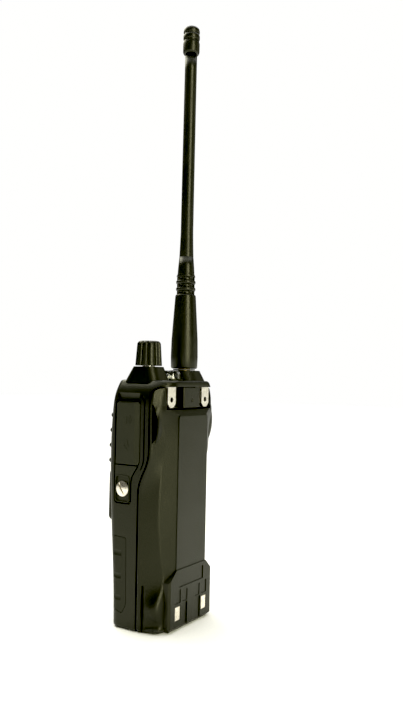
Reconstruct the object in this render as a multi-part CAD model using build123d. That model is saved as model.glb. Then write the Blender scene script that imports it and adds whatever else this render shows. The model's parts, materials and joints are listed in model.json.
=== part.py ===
from build123d import *

import os
from math import cos, pi

# A pocket two-way radio, in millimetres.  +Z is up and the origin is the centre
# of the face it stands on.  The keypad looks along -Y, the battery is at +Y, the
# headset jacks are on the +X side and the talk button is on the -X side.

# ---- driving dimensions ----------------------------------------------------
HALF_WIDTH_FOOT = 24.3        # half the body width at the foot
HALF_WIDTH = 25.1             # half the body width below the shoulders
FACE_Y = -14.6                # front face at the foot
SWELL = 3.6                   # how far the front swells forward, widest at SWELL_Z
SWELL_Z = 82.0
BROW_SETBACK = 2.8            # how far the front leans back above the speaker
BROW_LENGTH = 50.0
BEZEL_Y = -18.4               # front of the display bezel
WINDOW_Y = (-18.3, -17.2)     # front and back of the display window
SPINE_Y = 15.2                # flat back of the battery
TOP_Z = 118.0                 # top face of the body
RIM_UNDERSIDE_Z = 115.0       # underside of the rim that overhangs the battery
RIM_BACK_Y = 14.4             # back of that rim
SHOULDER_R = 18.0             # radius of the shoulders, which start at SHOULDER_Z
SHOULDER_Z = 106.0
CORNER_R = 4.0                # front corners
BACK_CORNER_R = 9.6           # back corners of the rim

LOW_PARTING_Y = 0.8           # middle of the side gap between housing and battery
HIGH_PARTING_Y = 6.75
PARTING_BEND_Z = (66.0, 83.0)
HALF_GAP = 0.5                # half the width of that gap
CAVITY_HALF_X = 21.4          # inside half width of both shells
CHASSIS_BACK_Y = 0.2
BATTERY_FRONT_Y = 1.1

LEDGE_Z = 104.2               # top of the battery between its two ears
EAR_INNER_X = 18.9
EAR_TOP_Z = RIM_UNDERSIDE_Z - 0.6
BACK_WALL_Y = 10.7            # wall behind the clip tabs
SPINE_HALF_X = 12.4

KNOB_AXIS = (14.3, -2.4)
KNOB_SEAT_Z = 124.5
KNOB_TOP_Z = 137.0
ANTENNA_AXIS = (-13.1, -0.3)
ANTENNA_SEAT_Z = 123.2
ANTENNA_TIP_Z = 303.2
TORCH_AXIS = (0.4, 1.0)
TORCH_R = 4.9

CLIP_HOLE_X = 14.6            # belt-clip screw holes, either side of the middle
CLIP_HOLE_Z = 108.8
CLIP_HOLE_R = 1.25

COVER_SCREW = (-8.3, 66.2)    # (y, z) of the screw that holds the jack cover
COVER_HINGE_Z = 77.6
COVER_GAP = 0.75              # round the edge of the jack cover
POCKET_FLOOR_X = 23.2
SPEAKER_JACK = (-6.4, 99.0)   # (y, z)
MIC_JACK = (-6.4, 87.5)
SPEAKER_JACK_R = 1.75
MIC_JACK_R = 1.25

KEY_COLUMNS = (-14.7, -4.9, 4.9, 14.7)
KEY_ROWS = (42.2, 33.4, 24.6, 15.8)
KEY_SIZE = (7.8, 5.6)
KEY_GAP = 0.3

CONTACT_X = 11.2
CONTACT_Z = (4.9, 11.4)
CONTACT_WIDTH = 4.5

SPEAKER_RIBS = (78.8, 86.1, 93.4, 100.7)
INNER_FACE_Y = -12.8
MIC_HOLE = (14.0, 48.0)
STATUS_LAMP = (-17.5, 76.2)
TALK_PLUNGER_Z = (70.0, 95.0)
SIDE_KEY_Z = (57.5, 50.0)
GRIP_FLOOR_X = 23.3
BATTERY_BACK_Y = 14.6         # back of the battery either side of its spine
FOOT_BLOCK_Y = 15.6           # back of the thick foot of the battery
TOE_HEIGHT = 1.8              # bevel round the battery's foot, TOE_INSET deep
TOE_INSET = 1.3
SIDE_LIP = 1.4                # straight side of the battery behind the gap
WAIST_Z = 57.0                # middle of the hollowed flanks
WAIST_REACH = 32.0            # how far they run up and down from there
FLANK_BLEND = 12.0            # and how far they take to fade out
WAIST_CREASE = (20.4, 10.0)   # (x, y) of the flank's crease at the middle
CREASE_DRIFT = (-2.8, 1.8)    # how far it wanders by the ends of the flank
FULL_CREASE = (21.9, 11.2)    # where it is once nothing is hollowed
EYE_R = 24.2                  # outer radius of the lens-shaped finger pocket
EYE_BULGE_Y = 11.2            # its rounded side
EYE_FLAT_Y = 8.2              # its flat side
EYE_FIN_X = 23.1              # top of the fin round it
EYE_FLOOR_X = 22.3            # and its floor
EYE_Z = 97.8                  # its middle height
KEY_PROUD = 0.8
KEY_FLANGE_Y = (-12.6, -11.7)
BOARD_Y = (-9.7, -8.5)
SPEAKER_CENTRE = (0.0, 89.7)  # (x, z)
SPEAKER_R = 12.2
TALK_PIVOT = (-21.6, 82.5)    # (x, z) of the talk button's pin
TALK_PIN_R = 0.8
SHAFT_R = 3.0
STUB_R = 3.1
SCREW_R = 1.5
KNOB_FLUTES = 11
TERMINAL_X = (-6.0, 0.0, 6.0)
GRIP_NOTCH_Z = (34.9, 24.1, 13.8)
ANTENNA_GROOVES_Z = (163.4, 167.0, 170.6)
RUNNING = 0.05                # radial clearance of a turning fit

os.makedirs("parts", exist_ok=True)


# ---- small helpers ---------------------------------------------------------
def block(x, y, z, corner=0.0, along=Axis.Z):
    """A box from its (low, high) extents, its edges along one axis rounded."""
    solid = Box(x[1] - x[0], y[1] - y[0], z[1] - z[0])
    solid = Pos(sum(x) / 2, sum(y) / 2, sum(z) / 2) * solid
    if corner:
        solid = fillet(solid.edges().filter_by(along), corner)
    return solid


def rod(start, direction, radius, length, end_radius=None):
    """A cylinder, or a cone when end_radius is given, from start along direction."""
    plane = Plane(origin=start, z_dir=direction)
    align = (Align.CENTER, Align.CENTER, Align.MIN)
    if end_radius is None:
        return plane * Cylinder(radius, length, align=align)
    return plane * Cone(radius, end_radius, length, align=align)


def ring(start, direction, outer, inner, length):
    """A tube from start along direction."""
    return rod(start, direction, outer, length) - rod(start, direction, inner, length)


def both_sides(solid):
    """A solid and its mirror image in the middle plane X = 0."""
    return solid + mirror(solid, about=Plane.YZ)


def turned(profile, axis_xy):
    """A solid of revolution about a vertical axis from (radius, z) points."""
    points = [(0, profile[0][1])] + list(profile) + [(0, profile[-1][1])]
    face = make_face(Plane.XZ * Polyline(*points, close=True))
    return Pos(axis_xy[0], axis_xy[1], 0) * revolve(face, Axis.Z)


def side_face(outline, x_from, x_to):
    """A (y, z) outline made into a solid between two X planes."""
    face = Plane.YZ * outline
    return Pos(x_from, 0, 0) * extrude(face, x_to - x_from, dir=(1, 0, 0))


def front_face(outline, y_from, y_to):
    """An (x, z) outline made into a solid between two Y planes."""
    solid = extrude(Plane.XZ * outline, y_to - y_from, dir=(0, 1, 0))
    return Pos(0, y_from, 0) * solid


def save(name, solid):
    """Write one node's STEP file."""
    solid.label = name
    export_step(solid, f"parts/{name}.step")


# ---- the body's outer form ---------------------------------------------------
def half_width(z):
    """Half the body width at a height: sides that widen upward, then shoulders."""
    if z <= SHOULDER_Z:
        return HALF_WIDTH_FOOT + (HALF_WIDTH - HALF_WIDTH_FOOT) * z / SHOULDER_Z
    return HALF_WIDTH - SHOULDER_R + (SHOULDER_R**2 - (z - SHOULDER_Z) ** 2) ** 0.5


def front_y(z):
    """The front face at a height: it swells forward to the speaker and back again."""
    if z <= SWELL_Z:
        return FACE_Y - SWELL * (1 - cos(pi * z / SWELL_Z)) / 2
    return FACE_Y - SWELL + BROW_SETBACK * (1 - cos(pi * (z - SWELL_Z) / BROW_LENGTH)) / 2


def section(z, back_y, back_r):
    """Plan section of the body at a height."""
    depth = back_y - front_y(z)
    shape = Pos(0, back_y - depth / 2) * Rectangle(2 * half_width(z), depth)
    shape = fillet(shape.vertices().sort_by(Axis.Y)[:2], CORNER_R)
    shape = fillet(shape.vertices().sort_by(Axis.Y)[-2:], back_r)
    return Pos(0, 0, z) * shape


def envelope(back_y, back_r):
    """The outer form of the whole body, cut off at a back plane."""
    trunk = [section(SHOULDER_Z * step / 6, back_y, back_r) for step in range(7)]
    rise = TOP_Z - SHOULDER_Z
    shoulder = [section(SHOULDER_Z + rise * step / 4, back_y, back_r) for step in range(5)]
    form = loft(trunk) + loft(shoulder)
    form = fillet(form.faces().sort_by(Axis.Z)[-1].edges(), 2.0)
    return fillet(form.faces().sort_by(Axis.Z)[0].edges(), 2.0)


def parting(offset, rim_z, front_limit, top_z):
    """(y, z) outline of everything in front of the side gap, moved by offset."""
    low = LOW_PARTING_Y + offset
    high = HIGH_PARTING_Y + offset
    bend_low, bend_high = PARTING_BEND_Z
    corner = 4.2
    points = Polyline((low, -2), (front_limit, -2), (front_limit, top_z), (30, top_z), (30, rim_z),
                      (high + corner, rim_z))
    top_arc = RadiusArc((high + corner, rim_z), (high, rim_z - corner), -corner)
    straight = Line((high, rim_z - corner), (high, bend_high + 2))
    sway = Spline((high, bend_high + 2), (low, bend_low - 2), tangents=((0, -1), (0, -1)))
    foot = Line((low, bend_low - 2), (low, -2))
    return make_face([points, top_arc, straight, sway, foot])


# ---- outer shells ------------------------------------------------------------
def cover_outline(grow):
    """(y, z) outline of the jack cover, swollen outward by grow."""
    top, foot = 107.5 + grow, 59.7 - grow
    wide, narrow = 1.0 + grow, -3.9 + grow
    left = -12.9 - grow
    bend_top, bend_foot = 81.5, 68.5
    points = Polyline((narrow, bend_foot), (narrow, foot), (left, foot), (left, top), (wide, top),
                      (wide, bend_top))
    sway = Spline((wide, bend_top), (narrow, bend_foot), tangents=((0, -1), (0, -1)))
    face = make_face([points, sway])
    corners = face.vertices().filter_by(lambda v: not bend_foot - 1 < v.Y < bend_top + 1)
    return fillet(corners, 1.6 + grow / 2)


def grip_outline(grow):
    """(y, z) outline of the finger grip low on each side."""
    points = [(-13.4, 43.4), (-5.9, 43.0), (-5.4, 12.0), (-7.8, 7.6), (-11.2, 8.6), (-13.2, 9.4)]
    face = make_face(Polyline(*points, close=True))
    face = fillet(face.vertices(), 0.8)
    return offset(face, grow) if grow else face


def slab(x_half, z, y_front, y_back, corner, edge):
    """A panel on the front face with rounded corners and softened front edges."""
    solid = block((-x_half, x_half), (y_front, y_back), z, corner, Axis.Y)
    return fillet(solid.faces().sort_by(Axis.Y)[0].edges(), edge)


def deck():
    """The raised seats of the knob and the antenna on top of the body."""
    knob_x, knob_y = KNOB_AXIS
    knob_foot = Pos(knob_x, -3.0, 116.5) * RectangleRounded(15.6, 20.8, 5)
    knob_top = Pos(knob_x, knob_y, KNOB_SEAT_Z) * RectangleRounded(13.2, 13.2, 5)
    mast_x, mast_y = ANTENNA_AXIS
    mast_foot = Pos(mast_x, mast_y, 116.5) * RectangleRounded(17.6, 21.4, 6)
    mast_top = Pos(mast_x, mast_y, ANTENNA_SEAT_Z) * RectangleRounded(15.2, 15.2, 6.5)
    seats = loft([knob_foot, knob_top]) + loft([mast_foot, mast_top])
    torch_x, torch_y = TORCH_AXIS
    seats = seats + rod((torch_x, torch_y, 117.0), (0, 0, 1), TORCH_R + 1.2, 2.0)
    return seats


def boss_places():
    """Where the four chassis screws go."""
    return [(x, z) for x in (-18.4, 18.4) for z in (6.4, 75.5)]


def front_housing():
    ahead_of_gap = side_face(parting(-HALF_GAP, RIM_UNDERSIDE_Z, -20, 140), -40, 40)
    shell = envelope(RIM_BACK_Y, BACK_CORNER_R) & ahead_of_gap
    # Bay for the battery, then the wall that carries the clip tabs.
    shell -= block((-22.6, 22.6), (LOW_PARTING_Y - HALF_GAP, 30), (-1, LEDGE_Z + 0.7))
    shell += block((-EAR_INNER_X + 0.3, EAR_INNER_X - 0.3), (5, BACK_WALL_Y), (LEDGE_Z + 0.7, 115.5))
    shell += deck()
    # Display bezel and the ribs across the speaker.
    shell += slab(23.0, (49.8, 74.6), BEZEL_Y, -14.0, 2.6, 0.7)
    for z in SPEAKER_RIBS:
        front = front_y(z) - 0.8
        shell += slab(22.9, (z - 1.1, z + 1.1), front, front + 3.0, 1.05, 0.5)
    # Inside: main room, speaker room, display room and the room under the deck.
    shell -= block((-CAVITY_HALF_X, CAVITY_HALF_X), (INNER_FACE_Y, 20), (2.0, 103.0)) & block(
        (-30, 30), (-20, LOW_PARTING_Y - HALF_GAP + 0.01), (-1, 200))
    shell -= block((-18, 18), (-15.0, INNER_FACE_Y + 1), (77.2, 102.4))
    shell -= block((-17.2, 17.2), (-15.3, INNER_FACE_Y + 1), (53.0, 71.6))
    shell -= block((-20, 20), (-12.0, 5.0), (102.5, 115.2))
    for x, z in boss_places():
        shell += ring((x, INNER_FACE_Y - 0.5, z), (0, 1, 0), 2.2, 0.95, -1.4 - INNER_FACE_Y + 0.5)
    # Openings in the front face.
    shell -= slab(18.6, (52.6, 72.0), BEZEL_Y - 1, WINDOW_Y[1], 1.8, 0.2)
    shell -= block((-16.4, 16.4), (-19, -14), (54.6, 70.0))
    for low, high in zip(SPEAKER_RIBS, SPEAKER_RIBS[1:]):
        shell -= block((-13.5, 13.5), (-20, -14), (low + 2.1, high - 2.1), 1.4, Axis.Y)
    for x in KEY_COLUMNS:
        for z in KEY_ROWS:
            width, height = (size / 2 + KEY_GAP for size in KEY_SIZE)
            shell -= block((x - width, x + width), (-20, -10), (z - height, z + height), 1.6, Axis.Y)
    shell -= rod((MIC_HOLE[0], -20, MIC_HOLE[1]), (0, 1, 0), 0.7, 10)
    shell -= rod((STATUS_LAMP[0], -20, STATUS_LAMP[1]), (0, 1, 0), 1.3, 10)
    # Jack side: thumb recess, cover pocket with a groove round it, jack and screw holes.
    shell -= side_face(cover_outline(COVER_GAP), POCKET_FLOOR_X, 30)
    groove = cover_outline(3.3) - cover_outline(2.5)
    groove &= Pos(10, 90) * Rectangle(16, 44)
    shell -= side_face(groove, 24.3, 30)
    shell -= rod((28.6, -12.4, 109.6), (0, 1, 0), 5.0, 12.9)
    shell -= rod((20, SPEAKER_JACK[0], SPEAKER_JACK[1]), (1, 0, 0), 3.6, 4)
    shell -= rod((20, MIC_JACK[0], MIC_JACK[1]), (1, 0, 0), 3.1, 4)
    shell -= rod((20, COVER_SCREW[0], COVER_SCREW[1]), (1, 0, 0), 2.2, 4)
    # Talk-button side.
    shell -= block((-30, -22.4), (-11.2, -0.8), (63.6, 101.4), 2.0, Axis.X)
    shell -= block((-30, -20), (-10.4, -2.1), (79.5, 85.5))
    for z in TALK_PLUNGER_Z:
        shell -= rod((-20, -5.8, z), (-1, 0, 0), 1.8, 5)
    for z in SIDE_KEY_Z:
        shell -= block((-30, -20), (-9.3, -2.7), (z - 2.9, z + 2.9), 1.2, Axis.X)
    # Finger grips low on both sides.
    grip = side_face(grip_outline(0.25), GRIP_FLOOR_X - 0.05, 30)
    shell -= both_sides(grip)
    # Top: bores for the volume shaft, the antenna connector and the torch.
    shell -= rod((*KNOB_AXIS, 110), (0, 0, 1), 3.8, 20)
    shell -= rod((*ANTENNA_AXIS, 110), (0, 0, 1), 4.2, 20)
    shell -= rod((*TORCH_AXIS, 110), (0, 0, 1), TORCH_R + 0.1, 20)
    # Back wall: recess for the battery release and blind holes behind the tabs.
    shell -= block((-7.4, 7.4), (9.4, 20), (LEDGE_Z, RIM_UNDERSIDE_Z))
    for x in (-CLIP_HOLE_X, CLIP_HOLE_X):
        shell -= rod((x, BACK_WALL_Y + 1, CLIP_HOLE_Z), (0, -1, 0), 1.8, 6.0)
    return shell


def waist(z):
    """(x, y) of the crease where the battery's slanted side meets its hollowed flank."""
    away = max(-1.0, min(1.0, (z - WAIST_Z) / WAIST_REACH))
    return tuple(start + drift * away**2 for start, drift in zip(WAIST_CREASE, CREASE_DRIFT))


def fullness(z):
    """0 over the hollowed flanks, rising smoothly to 1 at the battery's foot and head."""
    if z > WAIST_Z:
        share = (z - (WAIST_Z + WAIST_REACH)) / FLANK_BLEND
    else:
        share = (WAIST_Z - WAIST_REACH - z) / FLANK_BLEND
    share = max(0.0, min(1.0, share))
    return share * share * (3 - 2 * share)


def parting_y(z):
    """Y of the middle of the side gap at a height."""
    low_z, high_z = PARTING_BEND_Z[0] - 2, PARTING_BEND_Z[1] + 2
    share = max(0.0, min(1.0, (z - low_z) / (high_z - low_z)))
    return LOW_PARTING_Y + (HIGH_PARTING_Y - LOW_PARTING_Y) * share * share * (3 - 2 * share)


def battery_section(z, inset=0.0):
    """Plan section of the battery: straight sides, slanted sides, flanks and back."""
    full = fullness(z)
    narrowing = HALF_WIDTH - half_width(z) if z > SHOULDER_Z else 0.0
    crease_x, crease_y = waist(z)
    crease_x += (FULL_CREASE[0] - crease_x) * full - narrowing - inset
    crease_y += (FULL_CREASE[1] - crease_y) * full - inset
    side_x = half_width(z) - inset
    side_y = parting_y(z) + SIDE_LIP
    back_y = BATTERY_BACK_Y - inset
    right = [(side_x, -5.0), (side_x, side_y), (crease_x, crease_y), (SPINE_HALF_X - inset, back_y)]
    left = [(-x, y) for x, y in reversed(right)]
    face = make_face(Polyline(*right, *left, close=True))
    face = fillet(face.vertices().filter_by(lambda v: abs(v.Y - crease_y) < 0.01), 2.0 + 2.5 * full)
    face = fillet(face.vertices().filter_by(lambda v: abs(v.Y - side_y) < 0.01), 1.2)
    return Pos(0, 0, z) * face


def battery_form():
    """Outer form of the battery pack with its ears, spine and foot block."""
    toe = loft([battery_section(0, TOE_INSET), battery_section(TOE_HEIGHT)], ruled=True)
    trunk_length = SHOULDER_Z - TOE_HEIGHT
    trunk = loft([battery_section(TOE_HEIGHT + trunk_length * step / 16) for step in range(17)])
    head_length = TOP_Z - SHOULDER_Z
    head = loft([battery_section(SHOULDER_Z + head_length * step / 4) for step in range(5)])
    form = toe + trunk + head
    wrap = form - side_face(parting(HALF_GAP, EAR_TOP_Z, -30, 140), -40, 40)
    core = form & block((-22.2, 22.2), (BATTERY_FRONT_Y, 30), (-1, LEDGE_Z))
    pack = wrap + core
    pack -= block((-EAR_INNER_X, EAR_INNER_X), (-30, 30), (LEDGE_Z, 140))
    right = [(SPINE_HALF_X, 20), (SPINE_HALF_X, LEDGE_Z - 4.0), (SPINE_HALF_X - 3.2, LEDGE_Z)]
    left = [(-x, z) for x, z in reversed(right)]
    spine = front_face(make_face(Polyline(*right, *left, close=True)), 8, SPINE_Y)
    brow = Polyline((SPINE_Y - 2.2, LEDGE_Z), (30, LEDGE_Z), (30, LEDGE_Z - 3.2),
                    (SPINE_Y, LEDGE_Z - 3.2), close=True)
    return pack + spine - side_face(make_face(brow), -20, 20) + foot_block()


def foot_block():
    """The thick foot of the battery that stands in the charger."""
    right = [(16.2, 0.0), (18.1, 2.6), (18.1, 23.4), (12.6, 28.6)]
    left = [(-x, z) for x, z in reversed(right)]
    form = front_face(make_face(Polyline(*right, *left, close=True)), 8, FOOT_BLOCK_Y)
    uprights = form.edges().filter_by(Axis.Z).filter_by(lambda e: e.center().Y > 12)
    form = chamfer(uprights, 1.0)
    toe = form.edges().filter_by(Axis.X).filter_by(lambda e: e.center().Y > 12 and e.center().Z < 2)
    return chamfer(toe, 2.0)


def lens(radius, y_flat):
    """Lens-shaped (y, z) outline of the finger pocket high on the battery's side."""
    disk = Pos(EYE_BULGE_Y - EYE_R, EYE_Z) * Circle(radius)
    keep = Pos(y_flat + 15, EYE_Z) * Rectangle(30, 60)
    return disk & keep


def battery_shell():
    pack = battery_form()
    # A raised fin around each finger pocket, then the pocket itself.
    fin = side_face(lens(EYE_R, EYE_FLAT_Y), 19, EYE_FIN_X)
    fin -= side_face(lens(EYE_R - 0.9, EYE_FLAT_Y - 1), 18, 27)
    eye = side_face(lens(EYE_R - 0.9, EYE_FLAT_Y), EYE_FLOOR_X, 30)
    pack += both_sides(fin)
    pack -= both_sides(eye)
    # Room for the cells.
    right = [(20.9, 0), (20.9, 4.6), (19.0, 8.2), (12, 11.9)]
    room = Polyline(*right, *[(-x, y) for x, y in reversed(right)], close=True)
    pack -= Pos(0, 0, 3.2) * extrude(make_face(room), 97.0)
    # Charger guides, open at the foot.
    guide = block((22.9, 30), (3.4, 5.2), (-1, 22.0))
    pack -= both_sides(guide)
    # Relief on the foot block: label panel, cradle channels and contact windows.
    panel = block((-10.3, 10.3), (FOOT_BLOCK_Y - 0.35, 20), (20.2, 26.6))
    channel = block((3.3, 8.0), (FOOT_BLOCK_Y - 0.5, 20), (-1, 12.4))
    pocket = block((3.3, 7.4), (FOOT_BLOCK_Y - 0.3, 20), (12.9, 18.6))
    window = block((9.0, 13.4), (FOOT_BLOCK_Y - 0.3, 20), (12.9, 19.2))
    seat = block((CONTACT_X - CONTACT_WIDTH / 2, CONTACT_X + CONTACT_WIDTH / 2),
                 (FOOT_BLOCK_Y - 0.9, 20), CONTACT_Z)
    pack -= panel + both_sides(channel + pocket + window + seat)
    pack -= rod((0, SPINE_Y - 0.4, 109), (0, 1, 0), 1.0, 3)
    return pack


# ---- fixed pieces of the radio -------------------------------------------------
def rear_chassis():
    plate = block((-21.2, 21.2), (-1.2, CHASSIS_BACK_Y), (2.2, 102.8), 1.5, Axis.Y)
    for x, z in boss_places():
        plate -= rod((x, -2, z), (0, 1, 0), 0.95, 4)
        plate -= rod((x, CHASSIS_BACK_Y - 0.7, z), (0, 1, 0), 1.9, 2)
    for x in (-13, 0, 13):
        plate += block((x - 1.0, x + 1.0), (-2.4, -1.2), (20, 90))
    for x in TERMINAL_X:
        plate -= block((x - 1.4, x + 1.4), (-2, 1), (6.5, 14.5))
    return plate


def housing_seal():
    outer = block((-21.3, 21.3), (-2.2, -1.2), (2.1, 102.9), 1.6, Axis.Y)
    return outer - block((-20.7, 20.7), (-3, 0), (2.7, 102.3), 1.0, Axis.Y)


def chassis_screws():
    screws = []
    for x, z in boss_places():
        head = rod((x, CHASSIS_BACK_Y - 0.7, z), (0, 1, 0), 1.9, 0.7)
        head -= block((x - 1.2, x + 1.2), (CHASSIS_BACK_Y - 0.4, 1), (z - 0.2, z + 0.2))
        head -= block((x - 0.2, x + 0.2), (CHASSIS_BACK_Y - 0.4, 1), (z - 1.2, z + 1.2))
        screws.append(head + rod((x, -8.0, z), (0, 1, 0), 0.95, CHASSIS_BACK_Y - 0.7 + 8.0))
    return Compound(children=[screw.solids()[0] for screw in screws])


def clip_tabs():
    """Two steel strips with threaded holes, where the belt clip screws on."""
    tabs = []
    for side in (-1, 1):
        x = side * CLIP_HOLE_X
        outline = Polyline((x - 3.2, 114.9), (x - 3.2, 107.0), (x - 1.3, 105.1), (x + 1.3, 105.1),
                           (x + 3.2, 107.0), (x + 3.2, 114.9), close=True)
        face = make_face(outline)
        face = fillet(face.vertices().filter_by(lambda v: v.Y < 110), 1.0)
        strip = front_face(face, BACK_WALL_Y, BACK_WALL_Y + 1.3)
        strip += ring((x, BACK_WALL_Y - 0.9, CLIP_HOLE_Z), (0, 1, 0), 1.8, CLIP_HOLE_R, 0.9)
        strip -= rod((x, BACK_WALL_Y - 2, CLIP_HOLE_Z), (0, 1, 0), CLIP_HOLE_R, 6)
        tabs.append(strip.solids()[0])
    return Compound(children=tabs)


def speaker_grille():
    plate = block((-16, 16), (-14.95, -14.35), (78.0, 101.6), 3.0, Axis.Y)
    holes = []
    for low, high in zip(SPEAKER_RIBS, SPEAKER_RIBS[1:]):
        middle = (low + high) / 2
        for column in range(-7, 8):
            holes.append(rod((1.7 * column, -16, middle), (0, 1, 0), 0.55, 3))
    return plate - holes


def speaker_driver():
    x, z = SPEAKER_CENTRE
    basket = ring((x, -14.2, z), (0, 1, 0), SPEAKER_R, SPEAKER_R - 1.2, 1.8)
    basket += rod((x, -12.4, z), (0, 1, 0), SPEAKER_R, 1.0)
    return basket + rod((x, -11.4, z), (0, 1, 0), 8.0, 3.8)


def speaker_cone():
    x, z = SPEAKER_CENTRE
    rim = SPEAKER_R - 1.25
    profile = Polyline((0, 0.3), (3.2, 0.5), (rim - 1.2, 1.3), (rim, 1.3), (rim, 0.9), (rim - 1.0, 0.9),
                       (3.2, 0.1), (0, -0.1), close=True)
    bowl = revolve(make_face(Plane.XZ * profile), Axis.Z)
    return Plane(origin=(x, -12.5, z), z_dir=(0, -1, 0)) * (Pos(0, 0, 0.15) * bowl)


def lcd_window():
    return slab(18.4, (52.8, 71.8), *WINDOW_Y, 1.6, 0.25)


def lcd_module():
    module = block((-16.8, 16.8), (-15.2, -9.9), (53.4, 71.2), 0.8, Axis.Y)
    return module - block((-15.0, 15.0), (-16, -14.9), (55.4, 69.2))


def circuit_board():
    x, z = SPEAKER_CENTRE
    board = block((-20.8, 20.8), BOARD_Y, (3.4, 101.4), 1.0, Axis.Y)
    board -= rod((x, -12, z), (0, 1, 0), SPEAKER_R + 0.5, 6)
    board -= block((0, 22), (-12, -8), (79.0, 104.0))
    board -= block((-22, -16.5), (-12, -8), (46.5, 104.0))
    for place_x, place_z in boss_places():
        board -= rod((place_x, -12, place_z), (0, 1, 0), 2.6, 6)
    for low_z in (16, 44):
        board += block((-13, 13), (BOARD_Y[1], -5.4), (low_z, low_z + 22), 1.0, Axis.Y)
    return board


def keypad_mat():
    mat = block((-20.2, 20.2), (-10.6, BOARD_Y[0] - 0.1), (10.8, 46.6), 1.0, Axis.Y)
    for x in KEY_COLUMNS:
        for z in KEY_ROWS:
            mat += rod((x, -11.1, z), (0, 1, 0), 2.0, 0.6)
    return mat


def torch_lens():
    r = TORCH_R
    outer = turned([(r, 115.6), (r, 121.6), (r - 0.5, 122.5), (r - 1.6, 122.9)], TORCH_AXIS)
    return outer - rod((*TORCH_AXIS, 115), (0, 0, 1), r - 1.0, 6.2)


def torch_led():
    base = rod((*TORCH_AXIS, 114.2), (0, 0, 1), 3.6, 2.4)
    stem = rod((*TORCH_AXIS, 116.6), (0, 0, 1), 2.4, 1.6)
    return base + stem + Pos(*TORCH_AXIS, 118.2) * Sphere(2.4)


def status_led():
    x, z = STATUS_LAMP
    pipe = rod((x, front_y(z) - 0.25, z), (0, 1, 0), 1.2, 4.0)
    return fillet(pipe.edges().sort_by(Axis.Y)[0], 0.25)


def microphone():
    x, z = MIC_HOLE
    return rod((x, INNER_FACE_Y + 0.05, z), (0, 1, 0), 2.0, 1.5)


def antenna_connector():
    barrel = rod((*ANTENNA_AXIS, 108), (0, 0, 1), 4.15, ANTENNA_SEAT_Z - 108)
    nut = extrude(Pos(*ANTENNA_AXIS, 110) * RegularPolygon(5.6, 6), 3.0)
    stub = rod((*ANTENNA_AXIS, ANTENNA_SEAT_Z), (0, 0, 1), STUB_R, 6.8)
    stub = chamfer(stub.edges().sort_by(Axis.Z)[-1], 0.5)
    return barrel + nut + stub - rod((*ANTENNA_AXIS, ANTENNA_SEAT_Z + 2), (0, 0, 1), 0.7, 6)


def volume_control():
    x, y = KNOB_AXIS
    can = block((x - 5.0, x + 5.0), (y - 5.0, y + 5.0), (104.6, 112.4), 0.8)
    bushing = rod((x, y, 112.4), (0, 0, 1), 3.75, KNOB_SEAT_Z - 0.6 - 112.4)
    return can + bushing - rod((x, y, 108.0), (0, 0, 1), SHAFT_R + RUNNING, 20)


def talk_frame():
    """Bracket behind the talk button whose two lugs carry its pin."""
    x, z = TALK_PIVOT
    frame = Part()
    for low_y, high_y in ((-10.2, -8.8), (-3.5, -2.3)):
        frame += block((x - 0.75, x + 4.0), (low_y, high_y), (z - 2.6, z + 2.6))
    frame += block((x + 2.4, x + 4.0), (-10.2, -2.3), (z - 2.6, z + 2.6))
    frame -= rod((x, -12, z), (0, 1, 0), TALK_PIN_R, 12)
    return frame


def talk_pin():
    x, z = TALK_PIVOT
    return rod((x, -10.2, z), (0, 1, 0), TALK_PIN_R, 7.9)


def side_switches():
    """Four tact switches behind the talk button and the two side keys."""
    places = [(z, -19.6) for z in TALK_PLUNGER_Z] + [(z, -19.5) for z in SIDE_KEY_Z]
    switches = []
    for z, face_x in places:
        body = block((face_x + 0.5, face_x + 2.6), (-7.8, -3.8), (z - 2.0, z + 2.0), 0.4, Axis.X)
        switches.append((body + rod((face_x + 0.5, -5.8, z), (-1, 0, 0), 1.0, 0.5)).solids()[0])
    return Compound(children=switches)


def side_grips():
    """Ribbed finger inlays low on both sides."""
    inlay = side_face(grip_outline(0), GRIP_FLOOR_X, 30) & envelope(RIM_BACK_Y, BACK_CORNER_R)
    for z in GRIP_NOTCH_Z:
        inlay -= rod((26.4, -20.0, z + 0.4), (0.0, 1.0, 0.03), 2.35, 11.6)
    left = mirror(inlay, about=Plane.YZ)
    return Compound(children=[inlay.solids()[0], left.solids()[0]])


def accessory_cover_anchor():
    """Lower lobe of the rubber jack cover, held down by the screw."""
    y, z = COVER_SCREW
    lobe = side_face(cover_outline(0), POCKET_FLOOR_X + 0.1, 25.1)
    lobe &= block((20, 30), (-20, 10), (50, COVER_HINGE_Z - 0.3))
    frame = block((24.5, 25.6), (y - 4.3, y + 4.1), (z - 6.4, z + 6.4), 1.6, Axis.X)
    lobe += frame & block((20, 25.45), (-20, 10), (50, 90))
    lobe -= block((24.6, 30), (y - 3.95, y + 3.75), (z - 6.0, z + 6.0), 1.3, Axis.X)
    return lobe - rod((20, y, z), (1, 0, 0), SCREW_R + RUNNING, 10)


def jack(place, outer, bore, x_from):
    y, z = place
    body = ring((x_from, y, z), (1, 0, 0), outer, bore, POCKET_FLOOR_X - x_from)
    return body + block((x_from - 1.2, x_from), (y - 2.6, y + 2.6), (z - 2.6, z + 2.6), 0.6, Axis.X)


def speaker_jack():
    return jack(SPEAKER_JACK, 3.5, SPEAKER_JACK_R, 12.8)


def mic_jack():
    return jack(MIC_JACK, 3.0, MIC_JACK_R, 14.0)


def contact_springs():
    fingers = []
    for x in TERMINAL_X:
        finger = block((x - 1.0, x + 1.0), (-0.9, 0.1), (7.0, 14.0))
        bump = rod((x - 1.0, 0.1, 10.5), (1, 0, 0), 0.7, 2.0)
        fingers.append((finger + bump).solids()[0])
    return Compound(children=fingers)


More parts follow.
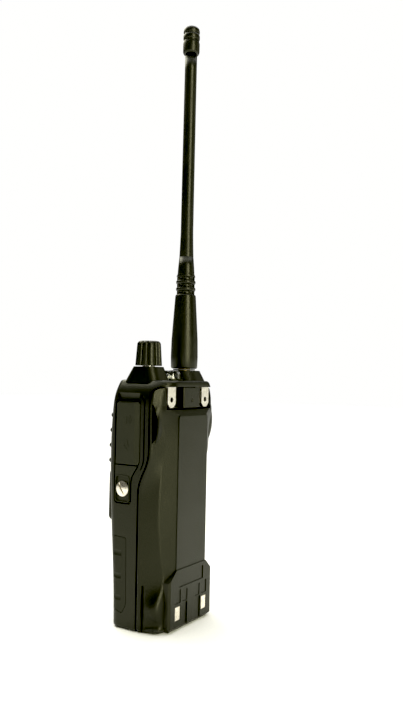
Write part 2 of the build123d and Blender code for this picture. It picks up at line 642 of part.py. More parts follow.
# ---- moving pieces ---------------------------------------------------------------
def key(column, row):
    """One keypad key with the flange that keeps it in."""
    x, z = KEY_COLUMNS[column], KEY_ROWS[row]
    width, height = KEY_SIZE
    face = front_y(z) - KEY_PROUD
    span_x = (x - width / 2, x + width / 2)
    span_z = (z - height / 2, z + height / 2)
    cap = block(span_x, (face, KEY_FLANGE_Y[0]), span_z, 1.4, Axis.Y)
    cap = fillet(cap.faces().sort_by(Axis.Y)[0].edges(), 0.45)
    flange_x = (span_x[0] - 0.6, span_x[1] + 0.6)
    flange_z = (span_z[0] - 0.6, span_z[1] + 0.6)
    return cap + block(flange_x, KEY_FLANGE_Y, flange_z, 1.6, Axis.Y)


def volume_knob():
    x, y = KNOB_AXIS
    foot_r, top_r = 6.55, 5.7
    low = KNOB_SEAT_Z + 0.5
    knob = rod((0, 0, low), (0, 0, 1), foot_r, KNOB_TOP_Z - low, top_r)
    knob = fillet(knob.edges().sort_by(Axis.Z)[-1], 0.9)
    lean = (foot_r - top_r) / (KNOB_TOP_Z - low)
    for flute in range(KNOB_FLUTES):
        groove = rod((foot_r + 0.25, 0, low - 1), (-lean, 0, 1), 0.55, KNOB_TOP_Z - low + 3)
        knob -= Rot(0, 0, 360 * flute / KNOB_FLUTES) * groove
    knob -= rod((0, 0, low - 1), (0, 0, 1), SHAFT_R, 9.6)
    return Pos(x, y, 0) * knob


def knob_shaft():
    return rod((*KNOB_AXIS, 108.2), (0, 0, 1), SHAFT_R, KNOB_SEAT_Z + 9.0 - 108.2)


def talk_rocker():
    x, z = TALK_PIVOT
    pad = block((-25.7, -23.4), (-10.8, -1.2), (64.1, 100.9), 1.8, Axis.X)
    pad = fillet(pad.faces().sort_by(Axis.X)[0].edges(), 0.6)
    for rib_z in (68.0, 71.0, 74.0, 91.0, 94.0, 97.0):
        pad -= rod((-25.9, -8.8, rib_z), (0, 1, 0), 0.55, 5.6)
    pad -= rod((-44.6, -20, z), (0, 1, 0), 19.3, 20)
    hub = block((-23.6, x + 0.2), (-7.9, -3.9), (z - 1.7, z + 1.7))
    hub += rod((x, -7.9, z), (0, 1, 0), 1.7, 4.0)
    pad += hub - rod((x, -12, z), (0, 1, 0), TALK_PIN_R + RUNNING, 12)
    for plunger_z in TALK_PLUNGER_Z:
        pad += rod((-23.6, -5.8, plunger_z), (1, 0, 0), 1.0, 3.1)
    return pad


def side_key(z):
    cap = block((-25.4, -21.1), (-9.0, -3.0), (z - 2.6, z + 2.6), 1.0, Axis.X)
    cap = fillet(cap.faces().sort_by(Axis.X)[0].edges(), 0.5)
    for rib in (-1.2, 0.0, 1.2):
        cap -= rod((-25.5, -8.0, z + rib), (0, 1, 0), 0.3, 4.0)
    return cap + block((-21.1, -20.5), (-9.8, -2.2), (z - 3.3, z + 3.3), 1.2, Axis.X)


def accessory_cover_flap():
    """Upper lobe of the rubber cover: swings out and bares the two jacks."""
    flap = side_face(cover_outline(0), POCKET_FLOOR_X + 0.3, 25.0)
    raised = side_face(cover_outline(-0.5), 24.0, 25.5)
    keep = block((20, 30), (-20, 10), (COVER_HINGE_Z + 0.3, 120))
    flap = (flap + raised) & keep
    flap -= Pos(25.5, -1.5, 90) * Rot(0, 0, -66) * Pos(0, 1, 0) * Box(6, 2, 60)
    for place, nub_r in ((SPEAKER_JACK, 1.5), (MIC_JACK, 1.0)):
        flap += rod((POCKET_FLOOR_X + 0.1, *place), (1, 0, 0), nub_r, 0.4)
    return flap


def cover_screw():
    """Slotted dome screw, turned with a coin."""
    y, z = COVER_SCREW
    head_r, start_x = 3.65, 21.1
    shank_end = 24.85 - start_x
    rim, crown = shank_end + 0.5, shank_end + 1.45
    outline = Polyline((0, crown), (0, 0), (SCREW_R, 0), (SCREW_R, shank_end), (head_r, shank_end),
                       (head_r, rim))
    dome = ThreePointArc((head_r, rim), (head_r * 0.55, crown - 0.27), (0, crown))
    screw = revolve(make_face(Plane.XZ * Sketch(make_face([outline, dome]))), Axis.Z)
    slot = Pos(0, 0, crown) * Box(9.0, 0.75, 1.4)
    return Plane(origin=(start_x, y, z), z_dir=(1, 0, 0)) * (Rot(0, 0, 32) * (screw - slot))


def battery_inner_cover():
    plate = block((-20.9, 20.9), (BATTERY_FRONT_Y, 2.3), (3.3, 100.1))
    for x in TERMINAL_X:
        plate -= block((x - 1.8, x + 1.8), (0, 1.6), (7.5, 13.5))
    return plate


def battery_cells():
    cell = block((0.6, 19.2), (2.5, 8.1), (22, 98), 2.7)
    return Compound(children=[cell.solids()[0], mirror(cell, about=Plane.YZ).solids()[0]])


def charging_contacts():
    half = CONTACT_WIDTH / 2
    depth = (FOOT_BLOCK_Y - 0.9, FOOT_BLOCK_Y - 0.25)
    plate = block((CONTACT_X - half, CONTACT_X + half), depth, CONTACT_Z)
    plate = fillet(plate.faces().sort_by(Axis.Y)[-1].edges(), 0.15)
    return Compound(children=[plate.solids()[0], mirror(plate, about=Plane.YZ).solids()[0]])


def battery_terminals():
    pads = [block((x - 1.8, x + 1.8), (BATTERY_FRONT_Y, 1.6), (7.5, 13.5)) for x in TERMINAL_X]
    return Compound(children=[pad.solids()[0] for pad in pads])


def battery_release():
    button = block((-7.0, 7.0), (BACK_WALL_Y + 0.3, 13.9), (LEDGE_Z + 0.8, RIM_UNDERSIDE_Z - 0.4))
    button = fillet(button.edges().filter_by(Axis.Z).filter_by(lambda e: e.center().Y > 12), 1.0)
    thumb_mark = Pos(0, 14.7, 108.6) * Sphere(1.3)
    return button - thumb_mark


def antenna_gasket():
    return ring((*ANTENNA_AXIS, ANTENNA_SEAT_Z + 0.2), (0, 0, 1), 5.6, 3.4, 0.6)


def antenna_sleeve():
    """The thick foot of the antenna with its three grooves."""
    foot = ANTENNA_SEAT_Z + 1.0
    profile = [(6.8, foot), (6.95, foot + 6), (6.75, 139), (6.25, 147), (5.8, 154), (5.3, 161.6)]
    for groove_z in ANTENNA_GROOVES_Z:
        profile += [(5.05, groove_z - 1.1), (4.2, groove_z - 1.0)]
        profile += [(4.2, groove_z + 0.9), (5.05, groove_z + 1.0)]
    profile += [(4.3, 173.2), (4.15, 176.5), (3.65, 182.0)]
    sleeve = turned(profile, ANTENNA_AXIS)
    sleeve -= rod((*ANTENNA_AXIS, foot - 1), (0, 0, 1), 4.6, 7.8)
    return sleeve - rod((*ANTENNA_AXIS, 150), (0, 0, 1), 2.2, 60)


def antenna_collar():
    return ring((*ANTENNA_AXIS, ANTENNA_SEAT_Z + 1.0), (0, 0, 1), 4.6, STUB_R + RUNNING, 6.8)


def antenna_whip():
    lower = rod((*ANTENNA_AXIS, 150), (0, 0, 1), 2.2, 32)
    taper = rod((*ANTENNA_AXIS, 182), (0, 0, 1), 3.65, 12, 3.25)
    return lower + taper + rod((*ANTENNA_AXIS, 194), (0, 0, 1), 3.25, 94.6, 3.1)


def antenna_cap():
    tip = ANTENNA_TIP_Z
    profile = [(4.1, 288.6), (4.35, 289.2), (4.35, 295.2), (4.05, 295.5), (4.05, 296.1), (4.3, 296.4),
               (4.3, 298.6), (4.05, 298.9), (4.05, 299.5), (4.25, 299.8), (4.15, tip - 1.6),
               (3.5, tip - 0.4), (2.5, tip)]
    return turned(profile, ANTENNA_AXIS)


PIECES = [
    front_housing, rear_chassis, housing_seal, chassis_screws, clip_tabs, speaker_grille, speaker_driver,
    speaker_cone, lcd_window, lcd_module, circuit_board, keypad_mat, torch_lens, torch_led, status_led,
    microphone, antenna_connector, volume_control, talk_frame, talk_pin, side_switches, side_grips,
    accessory_cover_anchor, speaker_jack, mic_jack, contact_springs, volume_knob, knob_shaft, talk_rocker,
    accessory_cover_flap, cover_screw, battery_shell, battery_inner_cover, battery_cells,
    charging_contacts, battery_terminals, battery_release, antenna_gasket, antenna_sleeve, antenna_collar,
    antenna_whip, antenna_cap,
]

for make_piece in PIECES:
    save(make_piece.__name__, make_piece())
save("upper_side_key", side_key(SIDE_KEY_Z[0]))
save("lower_side_key", side_key(SIDE_KEY_Z[1]))
for row in range(len(KEY_ROWS)):
    for column in range(len(KEY_COLUMNS)):
        save(f"key_row{row + 1}_column{column + 1}", key(column, row))
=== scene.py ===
import json
from math import cos, pi, radians, sin, sqrt

import bmesh
import bpy
from mathutils import Matrix, Vector


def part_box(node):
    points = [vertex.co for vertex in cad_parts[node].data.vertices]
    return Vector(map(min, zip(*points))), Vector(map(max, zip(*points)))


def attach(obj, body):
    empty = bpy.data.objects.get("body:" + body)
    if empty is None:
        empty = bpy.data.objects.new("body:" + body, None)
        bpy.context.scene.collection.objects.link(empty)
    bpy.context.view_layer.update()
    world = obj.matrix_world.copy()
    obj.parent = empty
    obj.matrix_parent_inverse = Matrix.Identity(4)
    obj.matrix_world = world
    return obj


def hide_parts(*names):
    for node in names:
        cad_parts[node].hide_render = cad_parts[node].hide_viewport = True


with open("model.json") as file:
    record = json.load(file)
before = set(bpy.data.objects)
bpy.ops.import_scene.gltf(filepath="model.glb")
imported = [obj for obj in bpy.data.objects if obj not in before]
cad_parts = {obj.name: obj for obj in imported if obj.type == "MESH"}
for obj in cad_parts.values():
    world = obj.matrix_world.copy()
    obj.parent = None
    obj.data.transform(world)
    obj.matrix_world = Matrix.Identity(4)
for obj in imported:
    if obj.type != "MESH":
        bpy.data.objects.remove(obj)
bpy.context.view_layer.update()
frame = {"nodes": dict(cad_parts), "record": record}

MM = 0.001

# ---- camera: a three-quarter view from the jack side and the battery ----------
CAMERA_PLACE = (0.28579, 0.2038, 0.11895)
CAMERA_HEADING = radians(122.91)     # turned anticlockwise from +Y, seen from above
CAMERA_PITCH = radians(1.57)
CAMERA_ROLL = radians(1.16)
CAMERA_LENS = 34.97

# ---- looks shared by several materials ----------------------------------------
BLACK = (0.0048, 0.0050, 0.0036, 1)
WARM_LIGHT = (1.0, 0.98, 0.72)
OVERHEAD = 3.5
BLACK_LEVEL = (0.0150, 0.0140, 0.0155)


def make_camera():
    """The camera at the viewing angle, and nothing else."""
    heading, pitch = CAMERA_HEADING, CAMERA_PITCH
    look = Vector((-sin(heading) * cos(pitch), cos(heading) * cos(pitch), sin(pitch)))
    right = Vector((cos(heading), sin(heading), 0))
    up = right.cross(look)
    tilted_right = right * cos(CAMERA_ROLL) + up * sin(CAMERA_ROLL)
    tilted_up = up * cos(CAMERA_ROLL) - right * sin(CAMERA_ROLL)
    turn = Matrix((tilted_right, tilted_up, -look)).transposed()
    data = bpy.data.cameras.new("camera")
    data.lens = CAMERA_LENS
    data.sensor_width = 36
    data.clip_start = 0.01
    camera = bpy.data.objects.new("camera", data)
    camera.matrix_world = Matrix.Translation(CAMERA_PLACE) @ turn.to_4x4()
    bpy.context.scene.collection.objects.link(camera)
    bpy.context.scene.camera = camera


def softbox(name, place, aim, size, power, colour=WARM_LIGHT):
    """A rectangular area light that points from place to aim."""
    data = bpy.data.lights.new(name, "AREA")
    data.shape = "RECTANGLE"
    data.size, data.size_y = size
    data.energy = power
    data.color = colour
    light = bpy.data.objects.new(name, data)
    light.location = place
    light.rotation_euler = (Vector(aim) - Vector(place)).to_track_quat("-Z", "Y").to_euler()
    bpy.context.scene.collection.objects.link(light)


def make_studio():
    """A pale floor, an even white room, three softboxes and light from overhead."""
    view = bpy.context.scene.view_settings
    view.view_transform = "Standard"
    view.look = "None"
    view.use_curve_mapping = True
    view.curve_mapping.black_level = BLACK_LEVEL
    half = 3.0
    mesh = bpy.data.meshes.new("floor")
    corners = [(-half, -half, 0), (half, -half, 0), (half, half, 0), (-half, half, 0)]
    mesh.from_pydata(corners, [], [(0, 1, 2, 3)])
    floor = bpy.data.objects.new("floor", mesh)
    bpy.context.scene.collection.objects.link(floor)
    paper = Graph("floor_paper")
    grain = paper.noise(900, 3)
    paper.bump(grain, 0.02, 0.0005)
    paper.colour_ramp(grain, (0.90, 0.90, 0.89), (0.94, 0.94, 0.93))
    paper.set("Roughness", 0.9)
    floor.data.materials.append(paper.material)

    world = bpy.data.worlds.new("room")
    world.use_nodes = True
    bpy.context.scene.world = world
    nodes, links = world.node_tree.nodes, world.node_tree.links
    seen = nodes["Background"]
    seen.inputs["Color"].default_value = (1.0, 1.0, 0.99, 1)
    seen.inputs["Strength"].default_value = 1.0
    felt = nodes.new("ShaderNodeBackground")
    felt.inputs["Color"].default_value = (1.0, 0.99, 0.86, 1)
    felt.inputs["Strength"].default_value = 0.11
    path = nodes.new("ShaderNodeLightPath")
    mix = nodes.new("ShaderNodeMixShader")
    links.new(path.outputs["Is Camera Ray"], mix.inputs[0])
    links.new(felt.outputs[0], mix.inputs[1])
    links.new(seen.outputs[0], mix.inputs[2])
    links.new(mix.outputs[0], nodes["World Output"].inputs["Surface"])

    middle = (0, 0, 0.10)
    softbox("near_softbox", (0.52, 1.12, 0.42), middle, (0.34, 1.3), 19)
    softbox("right_softbox", (-0.95, 0.75, 0.45), middle, (0.9, 1.0), 1.6)
    softbox("rear_softbox", (-0.15, -0.80, 1.05), middle, (0.9, 0.6), 7)
    sun = bpy.data.lights.new("overhead", "SUN")
    sun.energy = OVERHEAD
    sun.angle = radians(80)
    overhead = bpy.data.objects.new("overhead", sun)
    overhead.rotation_euler = (radians(12), radians(-10), 0)
    bpy.context.scene.collection.objects.link(overhead)


class Graph:
    """A Principled material and the procedural nodes that feed it."""

    def __init__(self, name):
        self.material = bpy.data.materials.new(name)
        self.material.use_nodes = True
        self.nodes = self.material.node_tree.nodes
        self.links = self.material.node_tree.links
        self.shader = self.nodes["Principled BSDF"]
        self.place = self.nodes.new("ShaderNodeTexCoord").outputs["Object"]
        self.last_bump = None

    def set(self, socket, value):
        self.shader.inputs[socket].default_value = value

    def feed(self, socket, output):
        self.links.new(output, self.shader.inputs[socket])

    def stretched(self, scale):
        """Object coordinates scaled differently along each axis."""
        node = self.nodes.new("ShaderNodeMapping")
        node.inputs["Scale"].default_value = scale
        self.links.new(self.place, node.inputs["Vector"])
        return node.outputs["Vector"]

    def noise(self, scale, detail=3.0, vector=None):
        node = self.nodes.new("ShaderNodeTexNoise")
        node.inputs["Scale"].default_value = scale
        node.inputs["Detail"].default_value = detail
        self.links.new(vector or self.place, node.inputs["Vector"])
        return node.outputs["Fac"]

    def cells(self, scale):
        node = self.nodes.new("ShaderNodeTexVoronoi")
        node.feature = "SMOOTH_F1"
        node.inputs["Scale"].default_value = scale
        self.links.new(self.place, node.inputs["Vector"])
        return node.outputs["Distance"]

    def remap(self, value, low, high, to_low, to_high):
        node = self.nodes.new("ShaderNodeMapRange")
        node.inputs["From Min"].default_value = low
        node.inputs["From Max"].default_value = high
        node.inputs["To Min"].default_value = to_low
        node.inputs["To Max"].default_value = to_high
        self.links.new(value, node.inputs["Value"])
        return node.outputs["Result"]

    def colour_ramp(self, value, low, high, start=0.3, stop=0.7):
        node = self.nodes.new("ShaderNodeValToRGB")
        ends = node.color_ramp.elements
        ends[0].position, ends[1].position = start, stop
        ends[0].color = (*low[:3], 1)
        ends[1].color = (*high[:3], 1)
        self.links.new(value, node.inputs["Fac"])
        self.feed("Base Color", node.outputs["Color"])
        return node.outputs["Color"]

    def bump(self, height, strength, distance):
        """Adds a bump, on top of any bump made before it."""
        node = self.nodes.new("ShaderNodeBump")
        node.inputs["Strength"].default_value = strength
        node.inputs["Distance"].default_value = distance
        self.links.new(height, node.inputs["Height"])
        if self.last_bump:
            self.links.new(self.last_bump, node.inputs["Normal"])
        self.last_bump = node.outputs["Normal"]
        self.feed("Normal", self.last_bump)


def moulded(name, colour, rough, grain_mm, grain_depth, dusty=1.35):
    """Moulded plastic or rubber: a fine grain, uneven gloss and faint dust."""
    graph = Graph(name)
    grain = graph.cells(1 / (grain_mm * MM))
    fine = graph.noise(2.2 / (grain_mm * MM), 2)
    graph.bump(grain, grain_depth, grain_mm * MM * 0.5)
    graph.bump(fine, grain_depth * 0.6, grain_mm * MM * 0.25)
    broad = graph.noise(55, 5)
    dust = tuple(channel * dusty + 0.0006 for channel in colour[:3])
    graph.colour_ramp(broad, colour, dust)
    graph.feed("Roughness", graph.remap(broad, 0.3, 0.7, rough - 0.05, rough + 0.06))
    graph.set("Specular IOR Level", 0.32)
    graph.set("Specular Tint", (1.0, 0.99, 0.78, 1))
    return graph.material


def metal(name, colour, rough, brushed=(1, 1, 1), scale=600):
    """Plated or bare metal with fine brushed lines and slightly worn patches."""
    graph = Graph(name)
    lines = graph.noise(scale, 4, graph.stretched(brushed))
    wear = graph.noise(420, 5)
    dull = tuple(channel * 0.72 for channel in colour[:3])
    graph.colour_ramp(wear, dull, colour, 0.30, 0.62)
    graph.set("Metallic", 1.0)
    graph.feed("Roughness", graph.remap(wear, 0.3, 0.7, rough + 0.12, rough))
    graph.bump(lines, 0.10, 0.00004)
    return graph.material


def clear(name, colour, rough, ior):
    """Clear moulded plastic with fine surface scuffs."""
    graph = Graph(name)
    scuff = graph.noise(1500, 4)
    graph.set("Base Color", colour)
    graph.set("Transmission Weight", 1.0)
    graph.set("IOR", ior)
    graph.feed("Roughness", graph.remap(scuff, 0.4, 0.7, rough, rough + 0.10))
    graph.bump(scuff, 0.05, 0.00003)
    return graph.material


def make_materials():
    return {
        "housing_plastic": moulded("housing_plastic", BLACK, 0.33, 0.42, 0.22),
        "battery_plastic": moulded("battery_plastic", BLACK, 0.38, 0.50, 0.30),
        "cover_rubber": moulded("cover_rubber", (0.0135, 0.0140, 0.0105), 0.46, 0.30, 0.12),
        "grip_rubber": moulded("grip_rubber", (0.0095, 0.0100, 0.0075), 0.54, 0.30, 0.18),
        "antenna_rubber": moulded("antenna_rubber", (0.0055, 0.0058, 0.0045), 0.34, 0.45, 0.22),
        "knob_plastic": moulded("knob_plastic", (0.0085, 0.0088, 0.0070), 0.30, 0.40, 0.22),
        "key_plastic": moulded("key_plastic", (0.020, 0.0205, 0.0175), 0.42, 0.25, 0.10),
        "silicone": moulded("silicone", (0.09, 0.09, 0.092), 0.5, 0.3, 0.1),
        "window_plastic": moulded("window_plastic", (0.010, 0.011, 0.011), 0.06, 0.9, 0.01),
        "display_glass": moulded("display_glass", (0.13, 0.15, 0.12), 0.18, 0.6, 0.02),
        "board": moulded("board", (0.02, 0.12, 0.05), 0.35, 0.8, 0.1),
        "cell_wrap": moulded("cell_wrap", (0.05, 0.14, 0.33), 0.25, 1.5, 0.03),
        "paper_cone": moulded("paper_cone", (0.03, 0.03, 0.03), 0.8, 0.4, 0.3),
        "legend_ink": moulded("legend_ink", (0.62, 0.62, 0.58), 0.55, 0.3, 0.02),
        "led_clear": moulded("led_clear", (0.42, 0.41, 0.33), 0.15, 0.6, 0.02),
        "nickel": metal("nickel", (0.93, 0.87, 0.74), 0.22, (1, 1, 14)),
        "steel": metal("steel", (0.82, 0.79, 0.72), 0.26, (12, 1, 1)),
        "cast_aluminium": metal("cast_aluminium", (0.20, 0.20, 0.195), 0.50),
        "brass": metal("brass", (0.78, 0.56, 0.24), 0.28),
        "clear_plastic": clear("clear_plastic", (0.97, 0.98, 0.98, 1), 0.03, 1.49),
    }


def paint_frame():
    """Gives every CAD node the look of its material slot."""
    slot_of = {part["node"]: part["material_slot"] for part in frame["record"]["subparts"]}
    for name, node in frame["nodes"].items():
        node.data.materials.clear()
        node.data.materials.append(LOOKS[slot_of[name]])


# ---- mesh helpers -----------------------------------------------------------------
def piece_from(name, points, faces, material_slot, body, smooth=True):
    """A new piece in millimetres that rides on a body and wears a slot's look."""
    mesh = bpy.data.meshes.new(name)
    mesh.from_pydata([Vector(p) * MM for p in points], [], faces)
    mesh.validate()
    form = bmesh.new()
    form.from_mesh(mesh)
    bmesh.ops.recalc_face_normals(form, faces=form.faces)
    form.to_mesh(mesh)
    form.free()
    mesh.polygons.foreach_set("use_smooth", [smooth] * len(mesh.polygons))
    mesh.materials.append(LOOKS[material_slot])
    piece = bpy.data.objects.new(name, mesh)
    bpy.context.scene.collection.objects.link(piece)
    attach(piece, body)
    return piece


def soften(piece, width_mm, segments=3, angle=radians(28)):
    """Rounds a piece's sharp edges."""
    bevel = piece.modifiers.new("soft_edges", "BEVEL")
    bevel.width = width_mm * MM
    bevel.segments = segments
    bevel.limit_method = "ANGLE"
    bevel.angle_limit = angle
    bevel.harden_normals = False
    return piece


def rings_joined(rings, close_low=True, close_high=True):
    """Points and faces of a skin over closed rings that all have as many points."""
    count = len(rings[0])
    points = [point for ring in rings for point in ring]
    faces = []
    for level in range(len(rings) - 1):
        for step in range(count):
            here, ahead = level * count + step, level * count + (step + 1) % count
            faces.append((here, ahead, ahead + count, here + count))
    if close_low:
        faces.append(tuple(reversed(range(count))))
    if close_high:
        top = (len(rings) - 1) * count
        faces.append(tuple(range(top, top + count)))
    return points, faces


def middle_of(node):
    """Centre of a CAD node in plan, and its lowest and highest Z, in millimetres."""
    low, high = (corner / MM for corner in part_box(node))
    return (low.x + high.x) / 2, (low.y + high.y) / 2, low.z, high.z


# ---- antenna ------------------------------------------------------------------------
ANTENNA_SIDES = 72
WHIP_LEAN = (-0.22, 0.34)            # how far the flexible tip leans, in millimetres
SOCKET_R = 4.6                       # hollow in the foot that takes the threaded collar
SOCKET_DEPTH = 6.8
GROOVE_RISES = (39.2, 42.8, 46.4)    # middle of each groove above the antenna's foot
GROOVE_BARS = 8                      # bars left standing in each groove
WHIP_STEPS = 12


def antenna_ring(axis_x, axis_y, radius, z, foot_z, tip_z):
    """One ring of the antenna, whose axis bows slightly towards the tip."""
    share = max(0.0, (z - foot_z) / (tip_z - foot_z)) ** 2
    x, y = axis_x + WHIP_LEAN[0] * share, axis_y + WHIP_LEAN[1] * share
    turns = [2 * pi * step / ANTENNA_SIDES for step in range(ANTENNA_SIDES)]
    return [(x + radius * cos(turn), y + radius * sin(turn), z) for turn in turns]


def lathe(name, profile, node):
    """A turned antenna piece from (radius, z) pairs that replaces a CAD node."""
    axis_x, axis_y, foot_z, _ = middle_of("antenna_sleeve")
    tip_z = middle_of("antenna_cap")[3]
    rings = [antenna_ring(axis_x, axis_y, radius, z, foot_z, tip_z) for radius, z in profile]
    piece = piece_from(name, *rings_joined(rings), "antenna_rubber", "antenna")
    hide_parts(node)
    return piece


def rounded_steps(points, reach=0.22):
    """The same (radius, z) profile with each corner cut into a small curve."""
    smooth = [points[0]]
    for before, corner, after in zip(points, points[1:], points[2:]):
        for start in (before, after):
            radial, along = start[0] - corner[0], start[1] - corner[1]
            length = sqrt(radial**2 + along**2)
            pull = min(reach, length * 0.45) / length
            smooth.append((corner[0] + radial * pull, corner[1] + along * pull))
    return smooth + [points[-1]]


def make_antenna():
    """Tapered foot with slotted grooves, whip and ringed cap."""
    axis_x, axis_y, foot_z, sleeve_top = middle_of("antenna_sleeve")
    grooves = [foot_z + rise for rise in GROOVE_RISES]
    profile = [(SOCKET_R, foot_z + SOCKET_DEPTH), (SOCKET_R, foot_z), (6.3, foot_z),
               (6.8, foot_z + 0.5), (6.95, foot_z + 6), (6.75, foot_z + 14.8), (6.25, foot_z + 22.8),
               (5.8, foot_z + 29.8), (5.3, foot_z + 37.4)]
    for groove in grooves:
        profile += [(5.05, groove - 1.05), (4.1, groove - 0.8), (4.1, groove + 0.8), (4.95, groove + 1.05)]
    profile += [(4.35, foot_z + 49.0), (4.15, foot_z + 52.3), (3.65, sleeve_top)]
    lathe("antenna_foot_sleeve", rounded_steps(profile), "antenna_sleeve")
    whip_top = middle_of("antenna_whip")[3]
    whip = [(3.6, sleeve_top - 0.3), (3.65, sleeve_top), (3.4, sleeve_top + 7), (3.24, sleeve_top + 13)]
    for step in range(1, WHIP_STEPS + 1):
        z = sleeve_top + 13 + (whip_top - sleeve_top - 13) * step / WHIP_STEPS
        whip.append((3.24 - 0.14 * step / WHIP_STEPS, z))
    lathe("antenna_whip_skin", whip, "antenna_whip")
    _, _, cap_low, tip = middle_of("antenna_cap")
    cap = [(3.0, cap_low), (3.9, cap_low + 0.1), (4.3, cap_low + 1.2), (4.33, cap_low + 5.6),
           (4.0, cap_low + 6.8), (4.0, cap_low + 7.5), (4.3, cap_low + 7.9), (4.3, cap_low + 9.8),
           (3.98, cap_low + 10.2), (3.98, cap_low + 10.9), (4.25, cap_low + 11.3), (4.2, cap_low + 12.4),
           (3.95, tip - 1.3), (3.2, tip - 0.55), (2.0, tip - 0.1), (0.6, tip)]
    lathe("antenna_tip_cap", rounded_steps(cap, 0.2), "antenna_cap")
    bars = []
    for groove in grooves:
        for step in range(GROOVE_BARS):
            bars.append((2 * pi * (step + 0.35) / GROOVE_BARS, groove))
    points, faces = [], []
    for turn, groove in bars:
        first = len(points)
        for radius in (3.9, 4.72):
            for along in (-0.42, 0.42):
                for rise in (-0.95, 0.95):
                    x = axis_x + radius * cos(turn) - along * sin(turn)
                    y = axis_y + radius * sin(turn) + along * cos(turn)
                    points.append((x, y, groove + rise))
        for face in ((0, 1, 3, 2), (4, 6, 7, 5), (0, 4, 5, 1), (2, 3, 7, 6), (0, 2, 6, 4), (1, 5, 7, 3)):
            faces.append(tuple(first + corner for corner in face))
    soften(piece_from("antenna_groove_bars", points, faces, "antenna_rubber", "antenna", False), 0.12, 2)


# ---- volume knob -----------------------------------------------------------------------
KNOB_FLUTES = 11
KNOB_SIDES = 22 * KNOB_FLUTES


def make_knob():
    """Tapered knob with rounded ribs, deep grooves between them and a dished top."""
    axis_x, axis_y, low, high = middle_of("volume_knob")
    foot_r = 6.52
    rises = [(0.0, -0.35), (0.0, 0.0), (0.35, 0.0)]
    rises += [(1 + (high - low - 2.6) * step / 10, 0.0) for step in range(11)]
    rises += [(high - low - 1.1, -0.12), (high - low - 0.55, -0.40), (high - low - 0.18, -0.85),
              (high - low, -1.45), (high - low, -2.0), (high - low - 0.25, -2.3), (high - low - 0.3, -4.6)]
    rings = []
    for rise, step_in in rises:
        shell_r = foot_r - 0.85 * rise / (high - low) + step_in
        ring = []
        for side in range(KNOB_SIDES):
            turn = 2 * pi * side / KNOB_SIDES
            beat = abs(sin(KNOB_FLUTES * turn / 2))
            groove = 0.95 * (1 - beat) ** 2.2 * (1.0 if step_in > -1.5 else 0.0)
            bulge = 0.16 * beat if step_in > -1.5 else 0.16
            radius = shell_r - groove - 0.16 + bulge
            ring.append((axis_x + radius * cos(turn), axis_y + radius * sin(turn), low + rise))
        rings.append(ring)
    knob = piece_from("fluted_volume_knob", *rings_joined(rings), "knob_plastic", "knob")
    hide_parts("volume_knob")


# ---- marks -----------------------------------------------------------------------------
def raised(name, outlines, place, material_slot, body, height=0.14):
    """Flat outlines (across, up) raised from a side panel, as one piece."""
    points, faces = [], []
    x, y, z = place
    for outline in outlines:
        first, count = len(points), len(outline)
        for depth in (0.0, height):
            points += [(x + depth, y + across, z + up) for across, up in outline]
        faces.append(tuple(first + count + step for step in range(count)))
        for step in range(count):
            ahead = (step + 1) % count
            faces.append((first + step, first + ahead, first + count + ahead, first + count + step))
    return piece_from(name, points, faces, material_slot, body, False)


def band(centre, inner, outer, start, stop, steps=10):
    """A curved stroke as an outline."""
    turns = [radians(start + (stop - start) * step / steps) for step in range(steps + 1)]
    across, up = centre
    rim = [(across + outer * cos(turn), up + outer * sin(turn)) for turn in turns]
    return rim + [(across + inner * cos(turn), up + inner * sin(turn)) for turn in reversed(turns)]


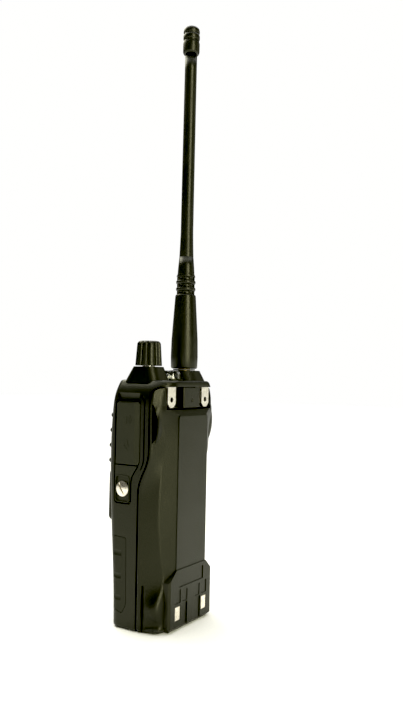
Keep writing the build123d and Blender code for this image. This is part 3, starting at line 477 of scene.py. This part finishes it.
def make_cover_marks():
    """Generic loudspeaker and microphone symbols over the two jacks."""
    low, high = (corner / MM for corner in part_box("accessory_cover_flap"))
    x = high.x - 0.02
    y = (low.y + high.y) / 2 - 0.3
    cone = [(-2.3, -0.7), (-1.3, -0.7), (0.0, -1.8), (0.0, 1.8), (-1.3, 0.7), (-2.3, 0.7)]
    waves = [band((0, 0), 1.2, 1.65, -48, 48), band((0, 0), 2.2, 2.65, -48, 48)]
    raised("loudspeaker_mark", [cone, *waves], (x, y, high.z - 8.6), "cover_rubber", "cover_flap")
    head = band((0, 0.9), 0.0, 0.85, 0, 180)[:11] + [(-0.85, -0.6)]
    head += [(0.85 * cos(radians(turn)), -0.6 + 0.85 * sin(radians(turn))) for turn in range(200, 341, 20)]
    head += [(0.85, -0.6)]
    cup = band((0, -0.5), 1.3, 1.7, 180, 360)
    stem = [(-0.22, -2.9), (0.22, -2.9), (0.22, -2.1), (-0.22, -2.1)]
    foot = [(-1.0, -3.25), (1.0, -3.25), (1.0, -2.85), (-1.0, -2.85)]
    raised("microphone_mark", [head, cup, stem, foot], (x, y, high.z - 19.5), "cover_rubber", "cover_flap")


KEY_LEGENDS = (("1", "2", "3", "A"), ("4", "5", "6", "B"), ("7", "8", "9", "C"), ("*", "0", "#", "D"))


def make_key_legends():
    """A printed character on each key."""
    for row, legends in enumerate(KEY_LEGENDS, 1):
        for column, legend in enumerate(legends, 1):
            low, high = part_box(f"key_row{row}_column{column}")
            curve = bpy.data.curves.new(f"legend_{row}_{column}", "FONT")
            curve.body = legend
            curve.size = 3.9 * MM
            curve.extrude = 0.03 * MM
            curve.align_x, curve.align_y = "CENTER", "CENTER"
            writing = bpy.data.objects.new("writing", curve)
            bpy.context.scene.collection.objects.link(writing)
            bpy.context.view_layer.update()
            settled = writing.evaluated_get(bpy.context.evaluated_depsgraph_get())
            mesh = bpy.data.meshes.new_from_object(settled)
            bpy.data.objects.remove(writing)
            stand = Matrix.Translation(((low.x + high.x) / 2, low.y - 0.00002, (low.z + high.z) / 2))
            mesh.transform(stand @ Matrix.Rotation(radians(90), 4, "X"))
            mesh.materials.clear()
            mesh.materials.append(LOOKS["legend_ink"])
            piece = bpy.data.objects.new(f"key_legend_row{row}_column{column}", mesh)
            bpy.context.scene.collection.objects.link(piece)
            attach(piece, f"keypad_row{row}_column{column}")


make_camera()
make_studio()
LOOKS = make_materials()
paint_frame()
make_antenna()
make_knob()
make_cover_marks()
make_key_legends()
